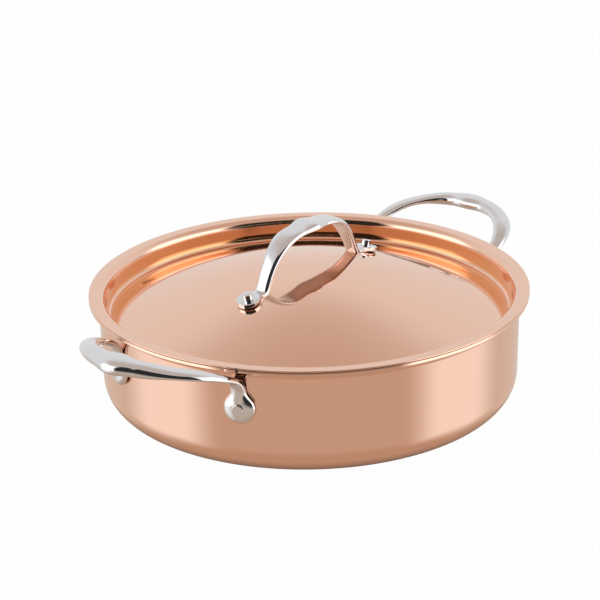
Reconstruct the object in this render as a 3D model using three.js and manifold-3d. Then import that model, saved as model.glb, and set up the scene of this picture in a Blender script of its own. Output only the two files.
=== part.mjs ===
// Covered braiser: a wide, shallow clad pan with two cast loop handles, and a pressed lid that drops
// into it and has a cast strap handle. Millimetres, +Z up. The origin is the middle of the flat base,
// X runs through both side handles and along the lid's strap, and the front is towards -Y.
import * as THREE from "three";
import { mergeVertices } from "three/addons/utils/BufferGeometryUtils.js";
import Module from "manifold-3d";

const wasm = await Module();
wasm.setup();

// Pan: one drawn sheet of three bonded plies
const PAN_INSIDE_RADIUS = 140.5; // at the top of the wall
const PAN_HEIGHT = 76.8; // from the base to the top of the lip
const PAN_DRAFT = THREE.MathUtils.degToRad(1.05); // the wall leans in towards the base
const PAN_CORNER = 20.3; // outside radius between wall and base
const COPPER_PLY = 0.7;
const CORE_PLY = 0.9;
const LINING_PLY = 0.4;
const BOND_GAP = 0.05; // between two bonded plies
const LIP_FLARE = 4.5; // outside radius of the turn from wall to lip
const LIP_WIDTH = 6.4; // from the outside of the wall to the edge of the lip
const HEM_WIDTH = 0.8; // copper turned over the edge of the lip, and over the edge of the lid

// Lid: one pressed sheet of two bonded plies
const LID_COPPER_PLY = 0.6;
const LID_LINING_PLY = 0.35;
const LID_SEAT_GAP = 0.3; // between flange and lip
const LID_WALL_CLEARANCE = 1.5; // between lid and pan wall, at the flange
const LID_FLANGE_FILLET = 2.6;
const LID_WALL_DEPTH = 16.2; // from the flange down to the corner where the dome starts
const LID_WALL_LEAN = 2.8; // how far the wall leans in over that depth
const LID_TROUGH_FILLET = 2.5;
const DOME_PITCH = 0.4; // fall for each millimetre outwards, far from the middle
const DOME_NOSE = 30.5; // the greater, the rounder the top

// Side handles: a rising oval loop on two necks, each with a riveted pad
const PAD_SPREAD = 51.1; // pad centre from the middle of the handle
const PAD_DROP = 28; // pad centre below the lip
const PAD_RADIUS = 10.5;
const PAD_THICKNESS = 5.4; // at its centre
const PAD_CROWN = 1.5; // swell of its front face
const PAD_FILLET = 2.3;
const NECK_START = 5.5; // foot of the neck above the pad's centre
const NECK_HALF_WIDTH = 5.4;
const NECK_HALF_THICKNESS = 2.3; // at its foot
const NECK_UPRIGHT = 12; // how far a neck keeps to the wall
const NECK_TURN = 6; // and how early it leans along the loop
const GRIP_REACH = 40.2; // middle of the grip beyond the lip
const GRIP_RISE = 8; // and above it
const LOOP_DEPTH = 46.3; // from the tops of the necks to the middle of the grip
const LOOP_SLOPE = 0.1; // climb at the grip for each millimetre outwards
const LOOP_SWEEP = 0.0043; // fall below that slope for each square millimetre inwards
const LOOP_SQUARENESS = 2.4;
// Its sections from a neck to the middle, by angle round the oval; a negative roll lifts the outer edge
const LOOP_SECTIONS = [
  { place: 90, halfWidth: 4.2, halfThickness: 1.8, roll: 0 }, // top of a neck
  { place: 50, halfWidth: 6.4, halfThickness: 2.4, roll: -5 }, // flat shoulder
  { place: 14, halfWidth: 6.9, halfThickness: 4.7, roll: -7 }, // thick grip beside the knuckle
  { place: 6, halfWidth: 10.1, halfThickness: 5.3, roll: -7 }, // end of the knuckle
  { place: 0, halfWidth: 10.1, halfThickness: 5.3, roll: -7 }, // its middle
];

// Lid handle: a strap bent to an arch, with a small riveted pad at each foot
const FOOT_REACH = 62.4; // pad centre from the middle of the lid
const FOOT_RADIUS = 7.4;
const FOOT_THICKNESS = 3;
const FOOT_FILLET = 0.8;
const FOOT_LENGTH = 14.4; // from the pad's centre in to where a leg rises
const FOOT_TURN = 6.5; // reach of the bend between foot and leg, each way
const LEG_HEIGHT = 2.5; // foot of a leg above the dome
const ARCH_RISE = 30.5; // from there up to the middle of the strap
const ARCH_POWER = 3.8; // how late the arch turns down
const STRAP_HALF_THICKNESS = 2.15;
const STRAP_SLANT = 0.75; // its sides lean out by this to the inner face and in by it to the outer
const STRAP_SQUARENESS = 5;
const LEG_HALF_WIDTH = 5.2; // at the foot
const SHOULDER_HALF_WIDTH = 8.4;
const SHOULDER_PLACE = 22; // from the middle
const KNUCKLE_HALF_WIDTH = 10.3;
const KNUCKLE_HALF_THICKNESS = 3; // all of the extra on its outer face
const KNUCKLE_HALF_LENGTH = 6;
const KNUCKLE_STEP = 5; // length of the step at each end of it

// Rivets
const PAN_RIVET_RADIUS = 3.7;
const LID_RIVET_RADIUS = 3.25;
const RIVET_HOLE_GAP = 0.3;
const RIVET_HEAD_RADIUS = 6;
const RIVET_HEAD_FLAT = 4.2; // radius where the head starts to round off
const RIVET_HEAD_HEIGHT = 2;
const RIVET_TAIL_PROUD = 0.5; // pan rivet beyond the pad
const RIVET_POST_HEIGHT = 3.8; // lid rivet above the foot
const RIVET_EDGE = 0.7; // rounding at the ends

const SEAT_GAP = 0.3; // between a riveted piece and the sheet under it

// Facets
const ROUND_STEPS = 40; // round the pan and lid
const RIVET_STEPS = 12;
const PAD_STEPS = 16;
const FILLET_SAG = 0.3; // how far a fillet's facet may lie off its arc
const DOME_STEPS = 7;
const NECK_STEPS = 4;
const LOOP_STEPS = 10; // in half a loop
const LOOP_CROWDING = 1.5; // how much closer they lie towards the knuckle
const FOOT_STEPS = 3;
const ARCH_STEPS = 9; // in half an arch
const SECTION_STEPS = 10;

// Sheets
const PAN_WALL = COPPER_PLY + BOND_GAP + CORE_PLY + BOND_GAP + LINING_PLY;
const LID_SHEET = LID_COPPER_PLY + BOND_GAP + LID_LINING_PLY;
const RIM_RADIUS = PAN_INSIDE_RADIUS + PAN_WALL + LIP_WIDTH; // edge of the lip, and of the lid on it
const LID_TOP = PAN_HEIGHT + LID_SEAT_GAP + LID_SHEET; // top of the flange

const copper = new THREE.MeshStandardMaterial({ color: 0xe0a282, metalness: 1, roughness: 0.12 });
const aluminium = new THREE.MeshStandardMaterial({ color: 0xc9cbcd, metalness: 1, roughness: 0.45 });
const brushedSteel = new THREE.MeshStandardMaterial({ color: 0xbfc0c1, metalness: 1, roughness: 0.35 });
const polishedSteel = new THREE.MeshStandardMaterial({ color: 0xd8d8da, metalness: 1, roughness: 0.1 });

const vec2 = (x, y) => new THREE.Vector2(x, y);
const vec3 = (x, y, z) => new THREE.Vector3(x, y, z);
const ACROSS = vec3(0, 1, 0);

// A geometry as a solid that can be cut and joined.
function solid(geometry) {
  const bare = new THREE.BufferGeometry();
  bare.setAttribute("position", geometry.getAttribute("position"));
  bare.setIndex(geometry.getIndex());
  const merged = mergeVertices(bare);
  const corners = merged.getIndex().array;
  const triVerts = [];
  for (let i = 0; i < corners.length; i += 3) {
    const [a, b, c] = corners.subarray(i, i + 3);
    if (a !== b && b !== c && c !== a) triVerts.push(a, b, c);
  }
  const vertProperties = merged.getAttribute("position").array;
  return new wasm.Manifold(
    new wasm.Mesh({ numProp: 3, vertProperties, triVerts: new Uint32Array(triVerts) }),
  );
}

function mesh(name, body, material) {
  const made = body.getMesh();
  const geometry = new THREE.BufferGeometry();
  geometry.setAttribute("position", new THREE.BufferAttribute(made.vertProperties, 3));
  geometry.setIndex(new THREE.BufferAttribute(made.triVerts, 1));
  geometry.computeVertexNormals();
  const piece = new THREE.Mesh(geometry, material);
  piece.name = name;
  return piece;
}

const joined = (body, others) => others.reduce((whole, one) => whole.add(one), body);
const drilled = (body, holes) => holes.reduce((rest, cut) => rest.subtract(cut), body);

// A line through corner points [radius, height, fillet], each rounded by its own fillet.
function rounded(corners) {
  return corners.flatMap(([x, y, fillet], i) => {
    const corner = vec2(x, y);
    if (!fillet) return [corner];
    const back = vec2(...corners[i - 1]).sub(corner).normalize();
    const ahead = vec2(...corners[i + 1]).sub(corner).normalize();
    const half = back.angleTo(ahead) / 2;
    const centre = back.clone().add(ahead).setLength(fillet / Math.sin(half)).add(corner);
    const turn = Math.sign(ahead.cross(back)) * (Math.PI - 2 * half);
    const start = back.multiplyScalar(fillet / Math.tan(half)).add(corner);
    const step = 2 * Math.acos(1 - Math.min(FILLET_SAG / fillet, 1));
    const steps = Math.ceil(Math.abs(turn) / step);
    return Array.from({ length: steps + 1 }, (_, k) =>
      start.clone().rotateAround(centre, (turn * k) / steps),
    );
  });
}

// The same line moved to its left by a distance; a point on the axis stays on it.
function offset(line, distance) {
  const normals = line.slice(1).map((p, i) => {
    const run = p.clone().sub(line[i]).normalize();
    return vec2(-run.y, run.x);
  });
  return line.map((p, i) => {
    if (p.x === 0) return vec2(0, p.y + distance);
    const before = normals[Math.max(i - 1, 0)];
    const after = normals[Math.min(i, normals.length - 1)];
    const middle = before.clone().add(after).normalize();
    return p.clone().addScaledVector(middle, distance / middle.dot(before));
  });
}

// A profile of (radius, height) points turned about Z: out along the underside and back along the top.
function revolve(profile, steps) {
  return solid(new THREE.LatheGeometry(profile, steps).rotateX(Math.PI / 2));
}

// The line at a depth under a sheet's face, ending at a radius on the lip or flange.
function below(face, depth, end) {
  const line = offset(face, depth);
  return [...line.slice(0, -1), vec2(end, line.at(-1).y)];
}

// A turned layer between two lines of a sheet; upwards tells whether the second is the upper one.
function layer(first, second, upwards) {
  const [under, over] = upwards ? [first, second] : [second, first];
  return revolve([...under, ...over.toReversed()], ROUND_STEPS);
}

// An inner layer of a sheet between two depths under its face. It ends behind the hem.
function ply(face, near, far) {
  const end = RIM_RADIUS - HEM_WIDTH - BOND_GAP;
  return layer(below(face, near, end), below(face, far, end), near < far);
}

// The face layer of a sheet down to a depth, with a hem over the whole edge of the sheet.
function hemmed(face, depth, sheet) {
  const end = RIM_RADIUS - HEM_WIDTH;
  const edge = face.at(-1).y + sheet;
  const inner = [...below(face, depth, end), vec2(end, edge), vec2(RIM_RADIUS, edge)];
  return layer(face, inner, depth > 0);
}

// A bar through stations of { at, along, across, halfWidth, halfThickness } with a rounded section.
// The squareness runs from 2, an oval, towards a rectangle. The slant widens one face and narrows the other.
function bar(stations, squareness, slant) {
  const swell = (value) => Math.sign(value) * Math.abs(value) ** (2 / squareness);
  const positions = stations.flatMap(({ at, along, across, halfWidth, halfThickness }) => {
    const over = along.clone().cross(across).normalize();
    return Array.from({ length: SECTION_STEPS }, (_, k) => {
      const angle = (2 * Math.PI * (k + 0.5)) / SECTION_STEPS;
      const rise = swell(Math.sin(angle));
      return at
        .clone()
        .addScaledVector(across, (halfWidth + slant * rise) * swell(Math.cos(angle)))
        .addScaledVector(over, halfThickness * rise);
    });
  });
  const index = [];
  const last = (stations.length - 1) * SECTION_STEPS;
  for (let i = 0; i < last; i += SECTION_STEPS) {
    for (let k = 0; k < SECTION_STEPS; k++) {
      const a = i + k;
      const b = i + ((k + 1) % SECTION_STEPS);
      index.push(a, b, b + SECTION_STEPS, a, b + SECTION_STEPS, a + SECTION_STEPS);
    }
  }
  for (let k = 1; k < SECTION_STEPS - 1; k++) {
    index.push(0, k + 1, k, last, last + k, last + k + 1);
  }
  const geometry = new THREE.BufferGeometry().setFromPoints(positions);
  return solid(geometry.setIndex(index));
}

// Half a bar's stations, mirrored in the plane x = 0 (axis 0) or y = 0 (axis 1) to make the whole.
function mirrored(half, axis) {
  const flip = (v) => v.clone().setComponent(axis, -v.getComponent(axis));
  const other = half
    .slice(0, -1)
    .reverse()
    .map((s) => ({ ...s, at: flip(s.at), along: flip(s.along).negate(), across: flip(s.across) }));
  return [...half, ...other];
}

// One size of a row of sections at a place between two of them, with level runs at each.
function sized(sections, size, place) {
  const next = Math.max(sections.findIndex((section) => section.place <= place), 1);
  const [far, near] = [sections[next - 1], sections[next]];
  const share = THREE.MathUtils.smoothstep(place, near.place, far.place);
  return THREE.MathUtils.lerp(near[size], far[size], share);
}

// Outside of the pan, from the middle of the base to the edge of the lip
const panOutside = (z) => PAN_INSIDE_RADIUS + PAN_WALL - (PAN_HEIGHT - z) * Math.tan(PAN_DRAFT);
const lipUnderside = PAN_HEIGHT - PAN_WALL;
const panFace = rounded([
  [0, 0],
  [panOutside(0), 0, PAN_CORNER],
  [panOutside(lipUnderside), lipUnderside, LIP_FLARE],
  [RIM_RADIUS, lipUnderside],
]);
// The middle of a facet lies inside its circle by this share of the radius.
const facetDepth = 1 - Math.cos(Math.PI / ROUND_STEPS);

// Top of the lid, from the middle of the dome to the edge of the flange
const flangeInner = PAN_INSIDE_RADIUS - LID_WALL_CLEARANCE - LID_SHEET;
const domeRadius = flangeInner - LID_WALL_LEAN;
const domeFall = (r) => Math.hypot(DOME_NOSE, DOME_PITCH * r) - DOME_NOSE;
const domeFoot = LID_TOP - LID_WALL_DEPTH;
const domeHeight = (r) => domeFoot + domeFall(domeRadius) - domeFall(r);
const domeSlope = (r) => (-(DOME_PITCH ** 2) * r) / Math.hypot(DOME_NOSE, DOME_PITCH * r);
const domeSteps = Array.from({ length: DOME_STEPS }, (_, k) => (domeRadius * k) / DOME_STEPS);
const lidFace = rounded([
  ...domeSteps.map((r) => [r, domeHeight(r)]),
  [domeRadius, domeFoot, LID_TROUGH_FILLET],
  [flangeInner, LID_TOP, LID_FLANGE_FILLET],
  [RIM_RADIUS, LID_TOP],
]);
// The middle of a dome facet lies below its curve by at most this much.
const domeSag = ((DOME_PITCH * domeRadius) / DOME_STEPS) ** 2 / (8 * DOME_NOSE);

// Places of the pads round the pan and of the feet on the lid
const sides = [
  { side: "left", out: -1 },
  { side: "right", out: 1 },
];
const ends = [
  { end: "front", over: -1 },
  { end: "back", over: 1 },
];
const turnOf = (out) => (out > 0 ? 0 : Math.PI);
const padHeight = PAN_HEIGHT - PAD_DROP;
const wallAtPad = panOutside(padHeight);
const padOut = Math.sqrt(wallAtPad ** 2 - PAD_SPREAD ** 2);
const padAngle = (out, over) => Math.atan2(over * PAD_SPREAD, out * padOut);

// A solid of revolution about Z, stood on the pan wall so that its axis points outwards at an angle.
function onWall(body, radius, angle) {
  const place = new THREE.Matrix4()
    .makeRotationZ(angle)
    .multiply(new THREE.Matrix4().makeTranslation(radius, 0, padHeight))
    .multiply(new THREE.Matrix4().makeRotationY(Math.PI / 2));
  return body.transform(place.elements);
}

// The same, stood on the dome at the left or right foot of the lid handle.
function onDome(body, out) {
  const place = new THREE.Matrix4()
    .makeRotationZ(turnOf(out))
    .multiply(new THREE.Matrix4().makeTranslation(FOOT_REACH, 0, domeHeight(FOOT_REACH)))
    .multiply(new THREE.Matrix4().makeRotationY(-Math.atan(domeSlope(FOOT_REACH))));
  return body.transform(place.elements);
}

// A hole along Z for a rivet's shank, reaching a depth either way.
function hole(shank, depth) {
  const radius = shank + RIVET_HOLE_GAP;
  return solid(new THREE.CylinderGeometry(radius, radius, 2 * depth, RIVET_STEPS).rotateX(Math.PI / 2));
}
const padHole = hole(PAN_RIVET_RADIUS, PAN_WALL + SEAT_GAP + PAD_THICKNESS);
const footHole = hole(LID_RIVET_RADIUS, LID_SHEET + SEAT_GAP + FOOT_THICKNESS);
const padHoles = sides.flatMap(({ out }) =>
  ends.map(({ over }) => onWall(padHole, wallAtPad, padAngle(out, over))),
);
const footHoles = sides.map(({ out }) => onDome(footHole, out));

// A rivet along Z: a low round head under height seat, and a shank of a radius up to height tail.
function rivet(shank, seat, tail) {
  const profile = rounded([
    [0, seat - RIVET_HEAD_HEIGHT],
    [RIVET_HEAD_FLAT, seat - RIVET_HEAD_HEIGHT, RIVET_HEAD_HEIGHT],
    [RIVET_HEAD_RADIUS, seat - RIVET_EDGE],
    [RIVET_HEAD_RADIUS, seat],
    [shank, seat],
    [shank, tail, RIVET_EDGE],
    [0, tail],
  ]);
  return revolve(profile, RIVET_STEPS);
}

// Pan
const coreStart = COPPER_PLY + BOND_GAP;
const coreEnd = coreStart + CORE_PLY;
const panPlies = new THREE.Group();
panPlies.add(
  mesh("pan_copper_shell", drilled(hemmed(panFace, COPPER_PLY, PAN_WALL), padHoles), copper),
  mesh("pan_aluminium_core", drilled(ply(panFace, coreStart, coreEnd), padHoles), aluminium),
  mesh("pan_steel_lining", drilled(ply(panFace, coreEnd + BOND_GAP, PAN_WALL), padHoles), brushedSteel),
);

// The right-hand side handle, pointing along +X
function sideHandle() {
  const reachEnd = RIM_RADIUS + GRIP_REACH;
  const reachStart = reachEnd - LOOP_DEPTH;
  const climb = (reach) => {
    const inwards = reachEnd - reach;
    return PAN_HEIGHT + GRIP_RISE - LOOP_SLOPE * inwards - LOOP_SWEEP * inwards ** 2;
  };
  const slope = (reach) => LOOP_SLOPE + 2 * LOOP_SWEEP * (reachEnd - reach);
  const neckFoot = vec3(padOut, PAD_SPREAD, 0).setLength(wallAtPad + SEAT_GAP + NECK_HALF_THICKNESS);
  neckFoot.z = padHeight + NECK_START;
  const neckTop = vec3(reachStart, PAD_SPREAD, climb(reachStart));
  const outwards = vec3(1, 0, slope(reachStart)).normalize();
  const neck = new THREE.CubicBezierCurve3(
    neckFoot,
    neckFoot.clone().add(vec3(0, 0, NECK_UPRIGHT)),
    neckTop.clone().addScaledVector(outwards, -NECK_TURN),
    neckTop,
  );
  const top = LOOP_SECTIONS[0];
  const half = [];
  for (let k = 0; k < NECK_STEPS; k++) {
    const t = k / NECK_STEPS;
    half.push({
      at: neck.getPoint(t),
      along: neck.getTangent(t),
      across: ACROSS,
      halfWidth: THREE.MathUtils.lerp(NECK_HALF_WIDTH, top.halfWidth, t),
      halfThickness: THREE.MathUtils.lerp(NECK_HALF_THICKNESS, top.halfThickness, t),
    });
  }
  for (let k = LOOP_STEPS; k >= 0; k--) {
    const place = top.place * (k / LOOP_STEPS) ** LOOP_CROWDING;
    const angle = THREE.MathUtils.degToRad(place);
    const reach = reachStart + LOOP_DEPTH * Math.cos(angle);
    const heading = vec2(LOOP_DEPTH * Math.sin(angle), -PAD_SPREAD * Math.cos(angle));
    const along = vec3(heading.x, heading.y, slope(reach) * heading.x).normalize();
    const roll = THREE.MathUtils.degToRad(sized(LOOP_SECTIONS, "roll", place));
    half.push({
      at: vec3(reach, PAD_SPREAD * Math.sin(angle), climb(reach)),
      along,
      across: vec3(-heading.y, heading.x, 0).normalize().applyAxisAngle(along, roll),
      halfWidth: sized(LOOP_SECTIONS, "halfWidth", place),
      halfThickness: sized(LOOP_SECTIONS, "halfThickness", place),
    });
  }
  const pad = revolve(
    rounded([
      [0, -PAD_THICKNESS],
      [PAD_RADIUS, -PAD_THICKNESS],
      [PAD_RADIUS, SEAT_GAP + PAD_THICKNESS - PAD_CROWN, PAD_FILLET],
      [0, SEAT_GAP + PAD_THICKNESS],
    ]),
    PAD_STEPS,
  );
  const pads = ends.map(({ over }) => onWall(pad, wallAtPad, padAngle(1, over)));
  const seat = revolve([...offset(panFace, -SEAT_GAP), vec2(0, PAN_HEIGHT)], ROUND_STEPS);
  return joined(bar(mirrored(half, 1), LOOP_SQUARENESS, 0), pads).subtract(seat);
}

const panFittings = new THREE.Group();
const rightHandle = sideHandle();
// A flat head meets the round, faceted wall inside it at its two sides.
const liningAtPad = (wallAtPad - PAN_WALL) * (1 - facetDepth);
const headSeat = liningAtPad - RIVET_HEAD_RADIUS ** 2 / (2 * liningAtPad) - SEAT_GAP;
const padTop = wallAtPad + SEAT_GAP + PAD_THICKNESS;
const panRivet = rivet(PAN_RIVET_RADIUS, headSeat, padTop + RIVET_TAIL_PROUD);
for (const { side, out } of sides) {
  const handle = rightHandle.transform(new THREE.Matrix4().makeRotationZ(turnOf(out)).elements);
  panFittings.add(mesh(`handle_${side}`, drilled(handle, padHoles), polishedSteel));
  for (const { end, over } of ends) {
    const fixed = onWall(panRivet, 0, padAngle(out, over));
    panFittings.add(mesh(`pan_rivet_${side}_${end}`, fixed, polishedSteel));
  }
}

// Lid
const lid = new THREE.Group();
const lidLiningStart = LID_COPPER_PLY + BOND_GAP;
lid.add(
  mesh("lid_copper_shell", drilled(hemmed(lidFace, -LID_COPPER_PLY, -LID_SHEET), footHoles), copper),
  mesh("lid_steel_lining", drilled(ply(lidFace, -lidLiningStart, -LID_SHEET), footHoles), brushedSteel),
);

// The strap handle along X, its feet flat on the dome
function lidHandle() {
  const slope = domeSlope(FOOT_REACH);
  const inwards = vec3(-1, 0, -slope).normalize();
  const upwards = vec3(-slope, 0, 1).normalize();
  const footStart = vec3(FOOT_REACH, 0, domeHeight(FOOT_REACH))
    .addScaledVector(upwards, SEAT_GAP + FOOT_THICKNESS / 2)
    .addScaledVector(inwards, LID_RIVET_RADIUS + RIVET_HOLE_GAP);
  const archSpan = FOOT_REACH - FOOT_LENGTH;
  const archFoot = domeHeight(archSpan) + LEG_HEIGHT;
  const archAt = (x) => vec3(x, 0, archFoot + ARCH_RISE * (1 - (x / archSpan) ** ARCH_POWER));
  const archAlong = (x) => {
    const fall = (ARCH_POWER * ARCH_RISE * (x / archSpan) ** (ARCH_POWER - 1)) / archSpan;
    return vec3(-1, 0, fall).normalize();
  };
  const legFoot = archAt(archSpan);
  const foot = new THREE.CubicBezierCurve3(
    footStart,
    footStart.clone().addScaledVector(inwards, FOOT_TURN),
    legFoot.clone().addScaledVector(archAlong(archSpan), -FOOT_TURN),
    legFoot,
  );
  const leg = { halfWidth: LEG_HALF_WIDTH, halfThickness: STRAP_HALF_THICKNESS };
  const shoulder = { halfWidth: SHOULDER_HALF_WIDTH, halfThickness: STRAP_HALF_THICKNESS };
  const knuckle = { halfWidth: KNUCKLE_HALF_WIDTH, halfThickness: KNUCKLE_HALF_THICKNESS };
  const sections = [
    { place: archSpan, ...leg },
    { place: SHOULDER_PLACE, ...shoulder },
    { place: KNUCKLE_HALF_LENGTH + KNUCKLE_STEP, ...shoulder },
    { place: KNUCKLE_HALF_LENGTH, ...knuckle },
    { place: 0, ...knuckle },
  ];
  const half = [];
  for (let k = 0; k < FOOT_STEPS; k++) {
    const t = k / FOOT_STEPS;
    half.push({
      at: foot.getPoint(t),
      along: foot.getTangent(t),
      across: ACROSS,
      halfWidth: LEG_HALF_WIDTH,
      halfThickness: THREE.MathUtils.lerp(FOOT_THICKNESS / 2, STRAP_HALF_THICKNESS, t),
    });
  }
  for (let k = ARCH_STEPS; k >= 0; k--) {
    const x = (archSpan * k) / ARCH_STEPS;
    const halfThickness = sized(sections, "halfThickness", x);
    half.push({
      at: archAt(x).add(vec3(0, 0, halfThickness - STRAP_HALF_THICKNESS)),
      along: archAlong(x),
      across: ACROSS,
      halfWidth: sized(sections, "halfWidth", x),
      halfThickness,
    });
  }
  const pad = revolve(
    rounded([
      [0, -FOOT_THICKNESS / 2],
      [FOOT_RADIUS, -FOOT_THICKNESS / 2],
      [FOOT_RADIUS, SEAT_GAP + FOOT_THICKNESS, FOOT_FILLET],
      [0, SEAT_GAP + FOOT_THICKNESS],
    ]),
    PAD_STEPS,
  );
  const pads = sides.map(({ out }) => onDome(pad, out));
  const under = [vec2(0, 0), vec2(RIM_RADIUS, 0), ...offset(lidFace, SEAT_GAP).reverse()];
  const seat = revolve(under, ROUND_STEPS);
  return joined(bar(mirrored(half, 0), STRAP_SQUARENESS, STRAP_SLANT), pads).subtract(seat);
}

const footTop = SEAT_GAP + FOOT_THICKNESS;
const headTop = -LID_SHEET - domeSag - SEAT_GAP;
const lidRivet = rivet(LID_RIVET_RADIUS, headTop, footTop + RIVET_POST_HEIGHT);
lid.add(mesh("lid_handle", drilled(lidHandle(), footHoles), polishedSteel));
for (const { side, out } of sides) {
  lid.add(mesh(`lid_rivet_${side}`, onDome(lidRivet, out), polishedSteel));
}

const braiser = new THREE.Group();
braiser.name = "covered_braiser";
braiser.add(panPlies, panFittings, lid);

export default braiser;
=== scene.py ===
"""Looks of a covered braiser: a clad copper pan with two cast loop handles and a pressed lid.

Sizes are millimetres while a piece is shaped. A finished mesh is in metres, in the frame of the
CAD model.
"""
import math
from dataclasses import dataclass, replace

import bmesh
import bpy
from mathutils import Matrix, Vector
from mathutils.geometry import interpolate_bezier


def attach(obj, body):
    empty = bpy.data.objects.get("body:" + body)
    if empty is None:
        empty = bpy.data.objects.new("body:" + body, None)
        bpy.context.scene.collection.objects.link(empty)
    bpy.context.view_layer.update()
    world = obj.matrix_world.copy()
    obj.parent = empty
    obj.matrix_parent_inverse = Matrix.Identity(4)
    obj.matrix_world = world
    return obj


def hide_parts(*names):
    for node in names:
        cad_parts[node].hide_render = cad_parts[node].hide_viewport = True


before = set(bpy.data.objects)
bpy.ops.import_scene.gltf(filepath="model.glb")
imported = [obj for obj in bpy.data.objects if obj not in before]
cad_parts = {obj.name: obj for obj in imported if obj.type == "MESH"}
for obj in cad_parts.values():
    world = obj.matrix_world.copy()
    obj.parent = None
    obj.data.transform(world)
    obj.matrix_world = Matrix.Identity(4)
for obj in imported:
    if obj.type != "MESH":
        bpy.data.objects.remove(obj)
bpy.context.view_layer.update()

MM = 0.001
UP = Vector((0, 0, 1))
ACROSS = Vector((0, 1, 0))
OUT = Vector((1, 0, 0))
SIDES = (("left", -1), ("right", 1))
ENDS = (("front", -1), ("back", 1))


def grey(level):
    return (level, level, level, 1)


# Pan
PAN_INSIDE_RADIUS = 140.5
PAN_HEIGHT = 76.8
PAN_DRAFT = math.radians(1.05)
PAN_CORNER = 20.3
COPPER_PLY = 0.7
CORE_PLY = 0.9
LINING_PLY = 0.4
BOND_GAP = 0.05
LIP_FLARE = 5.5
LIP_WIDTH = 6.4
LIP_ROUNDING = 0.35
LIP_LEAN = 0.16
HEM_WIDTH = 0.8

# Lid
LID_COPPER_PLY = 0.6
LID_LINING_PLY = 0.35
LID_SEAT_GAP = 0.3
LID_WALL_CLEARANCE = 1.5
LID_FLANGE_FILLET = 5
LID_WALL_DEPTH = 17.3
LID_WALL_LEAN = 0.1
LID_TROUGH_FILLET = 4.5
LID_ROUNDING = 0.35
LID_LEAN = 0
DOME_PITCH = 0.4
DOME_NOSE = 30.5

# Side handles
PAD_SPREAD = 51.1
PAD_DROP = 28
PAD_RADIUS = 10.5
PAD_THICKNESS = 5.4
PAD_CROWN = 0.8
PAD_ROUNDING = 3.2
PAD_TIP = math.radians(9)
PAD_BACK = 1.2
PAD_SQUARENESS = 2
BACK_SQUARENESS = 7
NECK_START = 5.5
NECK_HALF_WIDTH = 5.4
NECK_UPRIGHT = 12
NECK_TURN = 6
NECK_BLEND = 2.4
GRIP_REACH = 40.2
GRIP_RISE = 8
LOOP_DEPTH = 46.3
LOOP_SLOPE = 0.1
LOOP_SWEEP = 0.0043
LOOP_SQUARENESS = 2.4
LOOP_TOP_SQUARENESS = 3
LOOP_SLANT = -0.9
LOOP_INNER_ROUND = 0.8
ROUND_SQUARENESS = 2
# Angle round the oval, half width, half thickness and roll, from a neck to the middle
LOOP_SECTIONS = (
    (90, 4.6, 2.3, 0),
    (50, 6.4, 2.6, -4),
    (18, 6.8, 4.5, -6),
    (0, 9.8, 5.2, -7),
)

# Lid handle
FOOT_REACH = 62.4
FOOT_RADIUS = 8
FOOT_THICKNESS = 3.5
FOOT_ROUNDING = 1
FOOT_TIP = math.radians(12)
FOOT_LENGTH = 14.4
FOOT_TURN = 6.5
FOOT_SQUARENESS = 9
FOOT_TOP_SQUARENESS = 5.5
FOOT_SLANT = -0.4
LEG_HEIGHT = 2.5
LEG_HALF_WIDTH = 5.2
LEG_BLEND = 1.6
ARCH_RISE = 30.5
ARCH_POWER = 3.8
STRAP_HALF_THICKNESS = 2.15
STRAP_SLANT = 0.75
STRAP_SQUARENESS = 3.2
SHOULDER_HALF_WIDTH = 8.4
SHOULDER_PLACE = 22
KNUCKLE_HALF_WIDTH = 10.3
KNUCKLE_HALF_THICKNESS = 3
KNUCKLE_HALF_LENGTH = 12

# Rivets
PAN_RIVET_RADIUS = 3.7
LID_RIVET_RADIUS = 3.25
RIVET_HOLE_GAP = 0.3
RIVET_HEAD_RADIUS = 6
RIVET_HEAD_FLAT = 4.2
RIVET_HEAD_HEIGHT = 2
RIVET_TAIL_PROUD = 1.2
RIVET_POST_HEIGHT = 3.8
RIVET_EDGE = 0.7
TAIL_EDGE = 0.35
SEAT_GAP = 0.3

# Fineness of the meshes
ROUND_STEPS = 240
RIVET_STEPS = 64
DOME_STEPS = 36
FILLET_STEPS = 14
EDGE_STEPS = 4
LARGEST_EDGE_ROUNDING = 1
ROUND_PROFILE = 0.5
RING_STEPS = 24
PAD_STEPS = 12
NECK_STEPS = 8
LOOP_STEPS = 26
LOOP_CROWDING = 1.3
FOOT_STEPS = 6
ARCH_STEPS = 30
SMOOTH_LEVELS = 2
MERGE_DISTANCE = 1e-4
SHADING_WEIGHT = 50

# Camera
CAMERA_TURN = math.radians(-50.5)
CAMERA_ELEVATION = math.radians(21.45)
CAMERA_ROLL = math.radians(-1.16)
CAMERA_LENS = 135.48
RIM_IN_VIEW = Vector((6.034, 10.373, -1530.82))

# Light of the studio round the object
WHITE = grey(1.0)
SIDE_CARD = grey(1.7)
SIDE_CARD_LOW = grey(1.0)
BACK_WALL = grey(0.81)
BACK_WALL_LOW = (0.68, 0.62, 0.56, 1)
CAMERA_SIDE = grey(0.03)
CAMERA_SIDE_LOW = (0.58, 0.476, 0.396, 1)
CEILING = (0.6, 0.505, 0.445, 1)
UNDERNEATH = (0.52, 0.39, 0.3, 1)

# Soft edges of the studio in degrees, round from the camera's side
CARD_EDGE = (55, 44)
CARD_BACK_EDGE = (98, 110)
CARD_LOW_EDGE = (76, 50)
CARD_LOW_BACK_EDGE = (99, 127)

# Soft edges of the studio in degrees, up from the horizon
CARD_TOP = (30, 40)
CAMERA_SIDE_FOOT = (-20, -6)
CAMERA_SIDE_TOP = (57, 48)
CEILING_EDGE = (36, 64)
HORIZON_EDGE = (-22.5, -14)
UNDERNEATH_EDGE = (-26, -54)

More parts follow.
